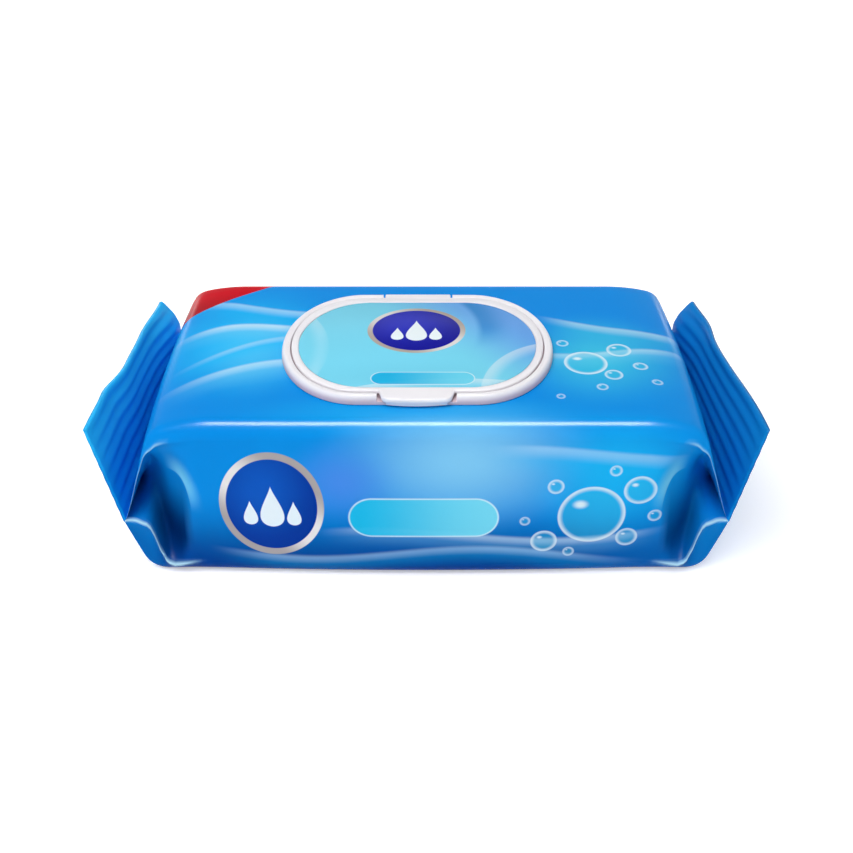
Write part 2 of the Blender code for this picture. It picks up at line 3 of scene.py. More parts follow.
import bmesh
import bpy
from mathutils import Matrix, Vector


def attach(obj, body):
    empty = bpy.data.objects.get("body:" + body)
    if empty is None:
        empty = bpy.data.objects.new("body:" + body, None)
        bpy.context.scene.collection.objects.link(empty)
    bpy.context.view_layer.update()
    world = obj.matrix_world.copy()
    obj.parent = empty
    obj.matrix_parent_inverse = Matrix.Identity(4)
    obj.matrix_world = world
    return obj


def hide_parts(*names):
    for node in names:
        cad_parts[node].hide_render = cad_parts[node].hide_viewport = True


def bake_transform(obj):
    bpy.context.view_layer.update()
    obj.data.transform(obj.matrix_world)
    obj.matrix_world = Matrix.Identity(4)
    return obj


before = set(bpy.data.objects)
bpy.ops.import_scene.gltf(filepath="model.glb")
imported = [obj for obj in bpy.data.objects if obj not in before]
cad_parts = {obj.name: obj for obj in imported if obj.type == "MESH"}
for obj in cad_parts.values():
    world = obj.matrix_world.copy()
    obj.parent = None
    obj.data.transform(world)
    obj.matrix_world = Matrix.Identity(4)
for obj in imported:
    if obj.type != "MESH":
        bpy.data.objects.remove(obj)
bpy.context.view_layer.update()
print("frame loaded:", sorted(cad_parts))


# Small helpers for modelling

def clearSelection():
    if bpy.context.mode != "OBJECT":
        bpy.ops.object.mode_set(mode="OBJECT")
    bpy.ops.object.select_all(action="DESELECT")


def editPiece(piece):
    clearSelection()
    bpy.context.view_layer.objects.active = piece
    piece.select_set(True)
    bpy.ops.object.mode_set(mode="EDIT")


def pick(piece, kind, test):  # selects the faces, edges or vertices whose middle passes the test
    bpy.ops.mesh.select_mode(type=kind)
    bpy.ops.mesh.select_all(action="DESELECT")
    shape = bmesh.from_edit_mesh(piece.data)
    shape.normal_update()
    parts = {"VERT": shape.verts, "EDGE": shape.edges, "FACE": shape.faces}[kind]
    for part in parts:
        if kind == "VERT":
            middle = part.co
        elif kind == "EDGE":
            middle = (part.verts[0].co + part.verts[1].co) / 2
        else:
            middle = part.calc_center_median()
        if test(part, middle):
            part.select_set(True)
    bmesh.update_edit_mesh(piece.data)


def extrudeBy(x=0.0, y=0.0, z=0.0):
    bpy.ops.mesh.extrude_region_move(TRANSFORM_OT_translate={"value": (x, y, z)})


def insetBy(width, rise=0.0):
    bpy.ops.mesh.inset(thickness=width, depth=rise, use_even_offset=True)


def applyModifier(piece, modifier):
    clearSelection()
    bpy.context.view_layer.objects.active = piece
    piece.select_set(True)
    bpy.ops.object.modifier_apply(modifier=modifier.name)


def joinTool(piece, tool, operation):  # a cut or a join with another solid, which is used up
    clearSelection()
    change = piece.modifiers.new("shape", "BOOLEAN")
    change.operation = operation
    change.object = tool
    change.solver = "EXACT"
    applyModifier(piece, change)
    bpy.data.objects.remove(tool, do_unlink=True)


def softenEdges(piece, width, steps, angle):
    change = piece.modifiers.new("soft edges", "BEVEL")
    change.width = width
    change.segments = steps
    change.limit_method = "ANGLE"
    change.angle_limit = math.radians(angle)
    change.use_clamp_overlap = True
    applyModifier(piece, change)


def finishPiece(piece, material, angle=40):
    editPiece(piece)
    bpy.ops.mesh.select_all(action="SELECT")
    bpy.ops.mesh.remove_doubles(threshold=0.000002)
    bpy.ops.mesh.normals_make_consistent(inside=False)
    clearSelection()
    bpy.context.view_layer.objects.active = piece
    piece.select_set(True)
    bpy.ops.object.transform_apply(location=True, rotation=True, scale=True)
    bpy.ops.object.shade_smooth_by_angle(angle=math.radians(angle))
    piece.data.materials.clear()
    piece.data.materials.append(material)


def addBlock(name, low, high):  # a box from corner to corner, only for cuts and joins
    clearSelection()
    middle = [(a + b) / 2 for a, b in zip(low, high)]
    bpy.ops.mesh.primitive_cube_add(size=1, location=middle)
    block = bpy.context.object
    block.name = name
    block.scale = [b - a for a, b in zip(low, high)]
    bpy.ops.object.transform_apply(location=True, rotation=True, scale=True)
    return block


def addOval(name, length, depth, straight, centre, height, points=192):
    # a disc with straight front and back and rounded ends: a circle, its halves moved apart
    clearSelection()
    bpy.ops.mesh.primitive_circle_add(vertices=points, radius=1, fill_type="NGON", location=(0, 0, 0))
    oval = bpy.context.object
    oval.name = name
    editPiece(oval)
    bpy.ops.mesh.select_all(action="SELECT")
    bpy.ops.transform.resize(value=((length - straight) / 2, depth / 2, 1))
    for side in (-1, 1):
        pick(oval, "VERT", lambda part, middle: middle.x * side > 1e-5)
        bpy.ops.transform.translate(value=(side * straight / 2, 0, 0))
    bpy.ops.mesh.select_mode(type="FACE")
    bpy.ops.mesh.select_all(action="SELECT")
    bpy.ops.transform.translate(value=(centre[0], centre[1], height))
    return oval


# Small helpers for materials

def linear(*screen):  # screen colour, 0 to 255, to the values that shaders take
    shares = [value / 255 for value in screen]
    return tuple(c / 12.92 if c <= 0.04 else ((c + 0.055) / 1.055) ** 2.4 for c in shares) + (1.0,)


def newMaterial(name, roughness, specular):
    material = bpy.data.materials.new(name)
    material.use_nodes = True
    tree = material.node_tree
    shader = tree.nodes["Principled BSDF"]
    shader.inputs["Roughness"].default_value = roughness
    shader.inputs["Specular IOR Level"].default_value = specular
    return material, tree, shader


def plug(tree, value, socket):
    if isinstance(value, bpy.types.NodeSocket):
        tree.links.new(value, socket)
    else:
        socket.default_value = value


def calc(tree, operation, *values):
    step = tree.nodes.new("ShaderNodeMath")
    step.operation = operation
    for value, socket in zip(values, step.inputs):
        plug(tree, value, socket)
    return step.outputs[0]


def fade(tree, value, start, end, low=0.0, high=1.0):  # from low at start to high at end, softly
    step = tree.nodes.new("ShaderNodeMapRange")
    step.interpolation_type = "SMOOTHSTEP"
    plug(tree, value, step.inputs["Value"])
    for socket, number in zip(("From Min", "From Max", "To Min", "To Max"), (start, end, low, high)):
        plug(tree, number, step.inputs[socket])
    return step.outputs["Result"]


def multiply(tree, *values):
    result = values[0]
    for value in values[1:]:
        result = calc(tree, "MULTIPLY", result, value)
    return result


def paint(tree, under, colour, mask):
    step = tree.nodes.new("ShaderNodeMix")
    step.data_type = "RGBA"
    plug(tree, mask, step.inputs[0])
    plug(tree, under, step.inputs[6])
    plug(tree, colour, step.inputs[7])
    return step.outputs[2]


def away(tree, value, centre):
    return calc(tree, "SUBTRACT", value, centre)


def root(tree, a, b):  # length of the long side of a right angle
    return calc(tree, "SQRT", calc(tree, "ADD", multiply(tree, a, a), multiply(tree, b, b)))


def distance(tree, u, v, centre, size):  # 1 on an ellipse of that size
    along = calc(tree, "DIVIDE", away(tree, u, centre[0]), size[0])
    down = calc(tree, "DIVIDE", away(tree, v, centre[1]), size[1])
    return root(tree, along, down)


def noise(tree, vector, scale, detail=2.0, roughness=0.5):
    step = tree.nodes.new("ShaderNodeTexNoise")
    plug(tree, vector, step.inputs["Vector"])
    step.inputs["Scale"].default_value = scale
    step.inputs["Detail"].default_value = detail
    step.inputs["Roughness"].default_value = roughness
    return step.outputs["Fac"]


def addBump(tree, shader, height, strength, reach):
    step = tree.nodes.new("ShaderNodeBump")
    step.inputs["Strength"].default_value = strength
    step.inputs["Distance"].default_value = reach
    plug(tree, height, step.inputs["Height"])
    tree.links.new(step.outputs["Normal"], shader.inputs["Normal"])


# Film: its shape, in millimetres

film = {
    "length": 184.0,  # top panel between its end creases
    "depth": 104.0,
    "height": 64.0,
    "edgeRadius": 6.0,
    "endDroop": 4.0,
    "droopRun": 20.0,
    "bulge": 0.8,
    "footBow": 2.4,
    "creaseReach": 4.5,
    "bottomExtra": 7.0,
    "bottomReach": 7.0,
    "sealOut": 13.0,
    "sealRootHeight": 23.5,
    "sealWidth": 38.5,
    "sealLean": 11.5,  # degrees outward at the front
    "sealBackLean": 4.5,
    "sealBackShort": 6.5,
    "sealThickness": 1.2,
    "sealInset": 1.2,
    "sealCurl": 5.0,  # the back corner of a seal curls in towards the body, then out to its tip
    "endBow": (2.6, 1.1),  # the end crease bows out, in the middle and at the corners
    "ridges": 7,
    "ridgeHeight": 0.34,
    "leftWaves": ((-0.46, 0.12, 0.9), (-0.16, 0.18, -1.1), (0.54, 0.28, 1.5)),
    "rightWaves": ((-0.20, 0.36, -0.6), (0.62, 0.26, 2.3)),
    "gussetDepth": 26.0,
    "gussetShape": (1.7, 5.0),  # how steeply the wall folds in from the upper and the lower edge
    "topBead": (0.8, 1.4),  # the rolled film edge above the pocket: height and width
    "lowerBead": (1.5, 2.1),  # and the one below it
    "beadStart": 79.0,  # where both begin, from the middle of the pack
    "pocketDent": ((85.0, 39.0), (3.5, 7.5), 1.3),  # soft dents: place, size and depth
    "cornerDent": ((88.0, 9.0), (4.5, 6.0), 2.2),
    "wallSwell": ((78.4, 42.0), (2.4, 8.0), 0.4),
    "seamWidth": 12.0,
    "seamGroove": 0.5,
    "underside": 157.0,  # beyond this distance round the film, the print's sign follows front and back
    # where the pocket begins on the front wall: height, and distance from the middle
    "pocketStart": ((0, 87.0), (6, 85.0), (16, 82.0), (32, 80.2), (42, 79.2), (49, 80.2), (55, 83.5), (62, 89.0)),
    # the film edge above the pocket: place along the top panel, and how far down the wall it lies
    "upperFold": ((86, 4.6), (90, 4.9), (92, 5.8), (94, 5.6), (96, 4.5), (99, 2.3), (102.7, 0.9), (105, 0.8)),
    # the curled film edge under the pocket: place along the bottom panel, and height
    "lowerFold": (
        (80, 4.2), (91, 4.4), (93, 6.5), (95, 11.5), (97, 18.0), (98.5, 21.5), (100, 23.0), (103, 23.6), (107, 23.2),
    ),
    # how many points each stretch of the film gets, along the pack and round it
    "stations": {"body": 14, "droop": 10, "crease": 12, "flap": 30, "seal": 66},
    "across": {"top": 36, "corner": 6, "edge": 6, "pocket": 35, "lower": 8, "under": 14},
}
stations = film["stations"]
across = film["across"]


def smoothStep(value):
    value = min(1.0, max(0.0, value))
    return value * value * (3 - 2 * value)


def mix(low, high, share):
    return low + (high - low) * share


def fromTable(table, place):  # smooth value between the rows of a table
    if place <= table[0][0]:
        return table[0][1]
    for (a, low), (b, high) in zip(table, table[1:]):
        if place <= b:
            return mix(low, high, smoothStep((place - a) / (b - a)) * 0.5 + (place - a) / (b - a) * 0.5)
    return table[-1][1]


def lineTo(start, end, steps):
    return [tuple(mix(a, b, step / steps) for a, b in zip(start, end)) for step in range(1, steps + 1)]


def roundTo(start, corner, end, steps):
    points = []
    for step in range(1, steps + 1):
        t = step / steps
        first, middle, last = (1 - t) ** 2, 2 * t * (1 - t), t * t
        points.append(tuple(first * a + middle * b + last * c for a, b, c in zip(start, corner, end)))
    return points


def towards(start, end, length):
    return tuple(mix(a, b, length / math.dist(start, end)) for a, b in zip(start, end))


def topLine():
    half = film["length"] / 2
    flat = half - film["droopRun"]
    crease = (half, film["height"] - film["endDroop"])
    root = (half + film["sealOut"], film["sealRootHeight"])
    points = [(0.0, film["height"])]
    points += lineTo(points[0], (flat, film["height"]), stations["body"])
    for step in range(1, stations["droop"] + 1):
        share = step / stations["droop"] * (1 - film["creaseReach"] / film["droopRun"])
        points.append((flat + film["droopRun"] * share, film["height"] - film["endDroop"] * share**2))
    turn = towards(crease, root, film["creaseReach"])
    points += roundTo(points[-1], crease, turn, stations["crease"])
    return points + lineTo(turn, root, stations["flap"])


def bottomLine():
    half = film["length"] / 2
    corner = (half + film["bottomExtra"], 0.0)
    thick = film["sealThickness"]
    root = (half + film["sealOut"] + thick, film["sealRootHeight"] - thick)
    start = (corner[0] - film["bottomReach"], 0.0)
    points = [(0.0, 0.0)]
    points += lineTo(points[0], (half - film["droopRun"], 0.0), stations["body"])
    points += lineTo(points[-1], start, stations["droop"])
    turn = towards(corner, root, film["bottomReach"])
    points += roundTo(start, corner, turn, stations["crease"])
    return points + lineTo(turn, root, stations["flap"])


def arcLengths(line):
    lengths = [0.0]
    for a, b in zip(line, line[1:]):
        lengths.append(lengths[-1] + math.dist(a, b))
    return lengths


def sealPoint(side, root, share, y):
    place = y / (film["depth"] / 2)
    back = smoothStep((place + 1) / 2)
    lean = math.radians(mix(film["sealLean"], film["sealBackLean"], back))
    reach = share * mix(film["sealWidth"], film["sealWidth"] - film["sealBackShort"], back)
    ridge = film["ridgeHeight"] * math.sin(math.tau * film["ridges"] * share) * smoothStep(share * 8)
    ridge *= 1 - place**8
    waves = film["rightWaves"] if side > 0 else film["leftWaves"]
    wave = sum(high * math.exp(-(((place - at) / wide) ** 2)) for at, wide, high in waves)
    curl = film["sealCurl"] * math.exp(-(((1 - place) / 0.42) ** 2)) * math.sin(math.pi * share**1.5)
    wave = wave * share**1.5 + ridge - curl
    x = root[0] + reach * math.sin(lean) + wave * math.cos(lean)
    return x, root[1] + reach * math.cos(lean) - wave * math.sin(lean)


def wallPlaces(length, radius, upper, lower):
    # places down the wall: distance, inset, share inside the pocket or None, and share of the way
    # along the film, which is longer than the wall's height by its two rounded edges
    places = []
    arc = math.pi / 2 * radius
    total = length - 2 * radius + 2 * arc
    for step in range(across["corner"] + 1):
        angle = math.pi / 2 * step / across["corner"]
        places.append((radius * (1 - math.cos(angle)), radius * (1 - math.sin(angle)), None, radius * angle / total))
    for step in range(1, across["edge"]):
        place = mix(radius, upper, step / across["edge"])
        places.append((place, 0.0, None, (place - radius + arc) / total))
    for step in range(across["pocket"] + 1):
        share = (1 - math.cos(math.pi * step / across["pocket"])) / 2
        place = mix(upper, lower, share)
        places.append((place, 0.0, share, (place - radius + arc) / total))
    for step in range(1, across["lower"]):
        place = mix(lower, length - radius, step / across["lower"])
        places.append((place, 0.0, None, (place - radius + arc) / total))
    for step in range(across["corner"] + 1):
        angle = math.pi / 2 * (1 - step / across["corner"])
        place = length - radius * (1 - math.cos(angle))
        places.append((place, radius * (1 - math.sin(angle)), None, 1 - radius * angle / total))
    return places


def bumpAt(x, z, centre, size, high):
    return high * math.exp(-(((x - centre[0]) / size[0]) ** 2) - ((z - centre[1]) / size[1]) ** 2)


def sideWall(top, bottom, halfDepth, radius, inSeal, swell, run):
    # points down the back wall, as (x, y, z, share of the way along the film, painted fold highlight, painted pocket
    # shade)
    length = math.dist(top, bottom)
    radius = min(radius, 0.4 * length)
    upper = max(radius * 1.1, min(fromTable(film["upperFold"], top[0]), 0.22 * length))
    foldHeight = fromTable(film["lowerFold"], bottom[0])
    rise = (top[1] - bottom[1]) / length if length else 1.0
    fold = min((foldHeight - bottom[1]) / max(rise, 0.3), 0.80 * length, length - upper - 0.3)
    lower = length - max(radius * 1.1, fold)
    points = []
    for place, inset, share, along in wallPlaces(length, radius, upper, lower):
        part = place / length
        x = mix(top[0], bottom[0], part)
        z = mix(top[1], bottom[1], part)
        out = swell * (film["bulge"] * math.sin(math.pi * part) + film["footBow"] * smoothStep(part * 1.5))
        line = shade = deepness = 0.0
        if not inSeal:
            start = fromTable(film["pocketStart"], z)
            full = film["length"] / 2 + film["sealOut"]
            reach = min(1.0, max(0.0, (x - start) / (full - start)))
            if share is not None:
                off = abs(2 * share - 1)
                steep = film["gussetShape"][share > 0.5]
                deepness = film["gussetDepth"] * reach**1.45 * (1 - off**steep)
                inset += deepness
                inset += (bumpAt(x, z, *film["pocketDent"]) + bumpAt(x, z, *film["cornerDent"])) * (1 - off**4)
                # how much painted shade the pocket gets here
                shade = (1 - off**8) * smoothStep(reach * 6)
            low = math.exp(-(((place - lower) / film["lowerBead"][1]) ** 2))
            high = math.exp(-(((place - upper) / film["topBead"][1]) ** 2))
            gate = smoothStep(run * 2.5) * smoothStep((1 - run) * 5)
            out += gate * (film["lowerBead"][0] * low + film["topBead"][0] * high)
            out += bumpAt(x, z, *film["wallSwell"])
            # where the material paints highlights along the lower and the upper bead
            line = low**12 * smoothStep(run * 2.5) * math.exp(-((deepness / 0.7) ** 2))
            line += 0.5 * high**5 * smoothStep((run - 0.35) * 4) * math.exp(-((deepness / 1.4) ** 2))
        points.append((x, halfDepth - inset + out, z, along, line, shade))
    return points


def ringPoints(side, station, top, bottom, topArc, bottomArc):
    # one closed ring: over the top, down the back, under the bottom and up the front,
    # as (x, y, z, u, v, line, shade), where u and v are the place on the flat film, and line and shade say how much
    # fold highlight and pocket shade the material paints there
    last = len(top) - 1
    inSeal = max(0, station - last)
    base = min(station, last)
    half = film["length"] / 2
    bowShare = smoothStep((top[base][0] - (half - film["droopRun"])) / film["droopRun"])
    bowShare *= smoothStep((half + film["sealOut"] - top[base][0]) / film["sealOut"])
    share = inSeal / stations["seal"]
    endShare = smoothStep((top[base][0] - (half - film["droopRun"])) / (film["sealOut"] + film["droopRun"]))
    halfDepth = film["depth"] / 2 - film["sealInset"] * endShare
    radius = mix(film["edgeRadius"], 1.5, endShare)
    start = film["beadStart"]
    run = max(0.0, (max(top[base][0], bottom[base][0]) - start) / (half + film["sealOut"] - start))
    swell = (1 - min(1.0, top[base][0] / half) ** 2) * (1 - endShare)

    def onTop(y):
        if inSeal:
            return sealPoint(side, top[base], share, y)
        bowed = mix(*film["endBow"], (y / film["depth"] * 2) ** 2) * bowShare
        return top[base][0] + bowed, top[base][1]

    def onBottom(y):
        if not inSeal:
            return bottom[base]
        inner = sealPoint(side, top[base], share, y)
        return inner[0] + film["sealThickness"], inner[1] - film["sealThickness"] * (1 - share)

    flat = inSeal or base == last
    back = sideWall(onTop(halfDepth), onBottom(halfDepth), halfDepth, radius, flat, swell, run)
    front = sideWall(onTop(-halfDepth), onBottom(-halfDepth), halfDepth, radius, flat, swell, run)
    reach = back[0][1]
    uTop = topArc[base] + share * film["sealWidth"]
    uBottom = bottomArc[base] + share * film["sealWidth"]
    foot = film["depth"] / 2 + film["height"]
    points = []
    for step in range(1, across["top"]):
        y = mix(-reach, reach, step / across["top"])
        x, z = onTop(y)
        points.append((x, y, z, uTop, y, 0.0, 0.0))
    for x, y, z, along, line, shade in back:
        points.append((x, y, z, mix(uTop, uBottom, along), mix(reach, foot, along), line, shade))
    edge = film["seamWidth"] / 2
    groove = film["seamGroove"]
    start = edge + 2 * groove
    places = [(0.0, 0.0), (edge * 0.5, 0.0), (edge, 0.0), (edge + groove, groove * (1 - endShare)), (start, 0.0)]
    places += [(mix(start, reach, step / across["under"]), 0.0) for step in range(1, across["under"])]
    for y, rise in places[::-1] + [(-y, rise) for y, rise in places[1:]]:
        x, z = onBottom(y)
        v = foot + reach - abs(y)
        points.append((x, y, z + rise, uBottom, v if y >= 0 else -v, 0.0, 0.0))
    for x, y, z, along, line, shade in reversed(front):
        points.append((x, -y, z, mix(uTop, uBottom, along), -mix(reach, foot, along), line, shade))
    return [(side * x, y, z, side * u, v, line, shade) for x, y, z, u, v, line, shade in points]


def closeSealEdge(shape, loop):  # fills the thin free edge between the two faces of a seal
    wide = across["top"] - 1
    wall = (len(loop) - 2 * wide) // 2
    top = loop[:wide]
    back = loop[wide : wide + wall]
    under = loop[wide + wall : -wall][::-1]
    front = loop[-wall:][::-1]
    middle = wall // 2
    upper = front[:middle][::-1] + top + back[:middle]
    lower = front[wall - middle :] + under + back[wall - middle :][::-1]
    for corners in zip(upper, upper[1:], lower[1:], lower):
        shape.faces.new(corners)


def makeFilm(material):
    top = topLine()
    bottom = bottomLine()
    topArc = arcLengths(top)
    bottomArc = arcLengths(bottom)
    count = len(top) + stations["seal"]
    lines = (top, bottom, topArc, bottomArc)
    rings = [ringPoints(-1, station, *lines) for station in range(count - 1, 0, -1)]
    rings += [ringPoints(1, station, *lines) for station in range(count)]
    shape = bmesh.new()
    uvLayer = shape.loops.layers.uv.new("print")
    # masks for the painted fold highlights and the painted pocket shade
    highlightLayer = shape.verts.layers.float.new("foldHighlight")
    shadeLayer = shape.verts.layers.float.new("pocketShade")
    loops = []
    flat = {}
    for ring in rings:
        loop = []
        for x, y, z, u, v, line, shade in ring:
            corner = shape.verts.new((x / 1000, y / 1000, max(0.0, z / 1000)))
            corner[highlightLayer] = line
            corner[shadeLayer] = shade
            flat[corner] = (u, v)
            loop.append(corner)
        loops.append(loop)
    size = len(loops[0])
    for left, right in zip(loops, loops[1:]):
        for index in range(size):
            after = (index + 1) % size
            shape.faces.new((left[index], right[index], right[after], left[after]))
    closeSealEdge(shape, loops[0])
    closeSealEdge(shape, loops[-1])
    for face in shape.faces:
        behind = sum(corner.co.y for corner in face.verts) > 0
        for corner in face.loops:
            u, v = flat[corner.vert]
            if abs(v) > film["underside"]:
                v = abs(v) if behind else -abs(v)
            corner[uvLayer].uv = (u / 1000, v / 1000)
    bmesh.ops.recalc_face_normals(shape, faces=shape.faces)
    mesh = bpy.data.meshes.new("packFilm")
    shape.to_mesh(mesh)
    shape.free()
    mesh.shade_smooth()
    mesh.materials.append(material)
    piece = bpy.data.objects.new("packFilm", mesh)
    bpy.context.scene.collection.objects.link(piece)
    print("film:", len(mesh.vertices), "points")
    return piece


# Print on the film, with painted light and shade in its pockets and on its seals: places are millimetres on the flat
# film
# u runs along the pack from its middle, v round it: 0 at the middle of the top, -46 where the
# front edge begins, -55 where the front wall does, and -116 at its foot

printAndPaintedLight = {
    "azure": linear(8, 140, 228),
    "cyan": linear(30, 190, 252),
    "paleCyan": linear(130, 222, 252),
    "teal": linear(64, 200, 232),
    "paleSky": linear(132, 206, 246),
    "periwinkle": linear(76, 140, 236),
    # print at the walls' foot, and painted shade on the right seal
    "deepBlue": linear(0, 64, 146),
    # painted shade in the pockets
    "pocketShadeBlue": linear(0, 34, 92),
    # painted light towards the seals' free edges
    "sealBlue": linear(40, 186, 255),
    "white": linear(232, 246, 254),
    "badgeLight": linear(16, 88, 192),
    "badgeDark": linear(6, 56, 156),
    "silver": linear(236, 234, 234),
    "silverDark": linear(172, 166, 166),
    "bar": linear(30, 190, 236),
    "barPale": linear(120, 222, 246),
    "red": linear(206, 0, 26),
    "redDark": linear(176, 0, 22),
    "badgeShape": {"centre": (-53.2, -81.0), "size": (17.9, 21.2), "rim": 2.3, "drop": (4.3, 8.8)},
    # bars: where the colour turns pale along the pack, where the fill ends and where the light edge
    # comes and goes, as shares of the way out
    "barShape": {
        "centre": (-1.0, -85.5), "half": 26.0, "high": 8.2,
        "pale": (-25.0, 25.0), "fill": 0.97, "edge": (0.90, 0.96, 0.97, 1.03),
    },
    # the red corner: its slanted edge, and its ends at the end crease and on the back wall
    "cornerShape": {"rise": 93.2, "slope": 0.74, "left": -97.5, "low": 62.0},
    # soft fields: colour, middle, size and strength
    "topSpots": (
        ("cyan", (-66, 2), (42, 46), 0.95),
        ("paleCyan", (-62, -4), (24, 34), 0.22),
        ("teal", (62, -8), (36, 36), 0.85),
        ("cyan", (-6, -44), (76, 13), 0.40),
    ),
    "wallSpots": (
        ("periwinkle", (-29, -71), (23, 19), 0.80),
        ("cyan", (64, -69), (36, 30), 0.80),
    ),
    "frontGlow": ((12, -63), (52, 32)),
    # light waves: colour, rise, slope, swing, wave, shift, width, strength, where they fade in
    # and out along the pack, and the strength of their bright line
    "topRibbons": (
        ("cyan", 27.0, -0.06, 4.0, 0.060, 1.0, 16.0, 0.60, (-98, -72, -44, -14), 0.34),
        ("paleCyan", 30.0, 0.27, 5.5, 0.074, 0.9, 15.0, 0.42, (-95, -72, -56, -42), 0.50),
        ("cyan", 27.0, 0.46, 5.0, 0.080, 0.2, 11.0, 0.70, (-90, -68, -56, -42), 0.28),
        ("paleCyan", 5.0, 0.36, 5.0, 0.070, -0.4, 16.0, 0.35, (-94, -66, -52, -36), 0.38),
        ("teal", 26.0, -0.12, 5.0, 0.055, 0.4, 16.0, 0.45, (40, 58, 84, 97), 0.35),
        ("paleCyan", 4.0, -0.10, 5.0, 0.060, 2.0, 12.0, 0.35, (36, 52, 80, 97), 0.30),
    ),
    "wallRibbons": (
        ("cyan", -63.0, 0.06, 4.0, 0.045, 0.5, 14.0, 0.35, (18, 40, 74, 90), 0.25),
        ("paleSky", -93.0, 0.04, 4.0, 0.040, 2.6, 10.0, 0.30, (-40, -10, 60, 86), 0.30),
        ("cyan", -101.0, -0.02, 3.0, 0.050, 0.6, 10.0, 0.30, (-78, -50, 40, 80), 0.20),
        ("cyan", 92.0, 0.05, 4.5, 0.040, 0.8, 16.0, 0.40, (-86, -56, 48, 84), 0.25),
        ("paleSky", 80.0, -0.03, 4.0, 0.048, 2.2, 12.0, 0.30, (-70, -30, 40, 80), 0.25),
    ),
    # bubbles: middle, radius and strength
    "topBubbles": (
        ((57, -12), 7.5, 1.0),
        ((70, -3), 4.2, 0.9),
        ((66, -20), 3.0, 0.8),
        ((76, -14), 2.2, 0.8),
        ((50, 2), 2.0, 0.7),
        ((80, -24), 1.5, 0.7),
        ((61, -28), 1.8, 0.7),
        ((46, -34), 1.3, 0.6),
    ),
    "frontBubbles": (
        ((57, -85), 11.5, 1.0),
        ((73, -75), 5.4, 0.9),
        ((41, -96), 4.4, 0.9),
        ((70, -95), 3.6, 0.8),
        ((44, -73), 2.6, 0.8),
        ((79, -86), 2.2, 0.7),
        ((64, -67), 1.9, 0.7),
        ((34, -87), 1.6, 0.7),
        ((50, -101), 1.8, 0.7),
    ),
    "pocketGlint": ((88.4, -83.4), (7.4, 14.8)),  # painted highlight on the pocket's rounded inner edge
}


def addSpots(tree, under, u, v, places):
    for name, centre, size, strength in places:
        soft = fade(tree, distance(tree, u, v, centre, size), 0.0, 1.0, strength, 0.0)
        under = paint(tree, under, printAndPaintedLight[name], soft)
    return under


def addRibbons(tree, under, u, v, places):  # one crisp side with a thin bright line, fading out below it
    for name, rise, slope, swing, wave, shift, width, strength, ends, bright in places:
        turn = calc(tree, "ADD", multiply(tree, u, wave), shift)
        middle = calc(tree, "ADD", multiply(tree, u, slope), rise)
        middle = calc(tree, "ADD", multiply(tree, calc(tree, "SINE", turn), swing), middle)
        below = away(tree, middle, v)
        length = multiply(tree, fade(tree, u, ends[0], ends[1]), fade(tree, u, ends[2], ends[3], 1.0, 0.0))
        crisp = multiply(tree, fade(tree, below, -0.9, 0.9), length)
        field = multiply(tree, crisp, fade(tree, below, 0.0, width, strength, 0.0))
        under = paint(tree, under, printAndPaintedLight[name], field)
        line = fade(tree, below, 0.4, width * 0.4, bright, 0.0)
        under = paint(tree, under, printAndPaintedLight["white"], multiply(tree, fade(tree, below, -1.2, 0.6), line, length))
    return under


def addBubbles(tree, under, u, v, places):
    for middle, radius, strength in places:
        reach = distance(tree, u, v, middle, (radius, radius))
        inside = fade(tree, reach, 0.95, 1.0, 0.30 * strength, 0.0)
        rim = multiply(tree, fade(tree, reach, 1.0 - 2.2 / (radius + 2.5), 1.0), 0.75 * strength)
        rim = multiply(tree, rim, fade(tree, reach, 1.0, 1.0 + 0.5 / radius, 1.0, 0.0))
        under = paint(tree, paint(tree, under, printAndPaintedLight["teal"], inside), printAndPaintedLight["white"], rim)
        spot = (middle[0] - radius * 0.36, middle[1] + radius * 0.40)
        glint = distance(tree, u, v, spot, (radius * 0.30, radius * 0.20))
        under = paint(tree, under, printAndPaintedLight["white"], fade(tree, glint, 0.2, 1.0, 0.9 * strength, 0.0))
    return under


def dropMask(tree, u, v, middle, half, high):  # a plain water drop with its tip up
    along = calc(tree, "DIVIDE", away(tree, u, middle[0]), half)
    up = calc(tree, "DIVIDE", away(tree, v, middle[1]), high)
    square = calc(tree, "MAXIMUM", calc(tree, "SUBTRACT", 1.0, multiply(tree, up, up)), 0.0)
    wide = multiply(tree, calc(tree, "SUBTRACT", 1.0, up), calc(tree, "SQRT", square), 0.77)
    return fade(tree, away(tree, wide, calc(tree, "ABSOLUTE", along)), 0.01, 0.07)


def addBadge(tree, under, u, v, shape, colours):  # an oval with a metal rim and three drops
    middle, size, rim = shape["centre"], shape["size"], shape["rim"]
    reach = distance(tree, u, v, middle, size)
    slant = calc(tree, "ADD", away(tree, u, middle[0]), multiply(tree, away(tree, v, middle[1]), 1.2))
    band = fade(tree, calc(tree, "ABSOLUTE", slant), size[0] * 0.2, size[0] * 1.3)
    metal = paint(tree, colours["silver"], colours["silverDark"], band)
    under = paint(tree, under, metal, fade(tree, reach, 1.0, 1.015, 1.0, 0.0))
    inner = 1.0 - rim / size[0]
    light = (middle[0] - size[0] * 0.2, middle[1] + size[1] * 0.3)
    dark = fade(tree, distance(tree, u, v, light, size), 0.1, 1.2)
    face = paint(tree, colours["badgeLight"], colours["badgeDark"], dark)
    under = paint(tree, under, face, fade(tree, reach, inner, inner + 0.015, 1.0, 0.0))
    half, high = shape["drop"]
    for shift, scale in ((0.0, 1.0), (-1.75, 0.60), (1.75, 0.60)):
        place = (middle[0] + shift * half, middle[1] - (1 - scale) * high * 0.8)
        drop = dropMask(tree, u, v, place, half * scale, high * scale)
        under = paint(tree, under, colours["white"], drop)
    return under


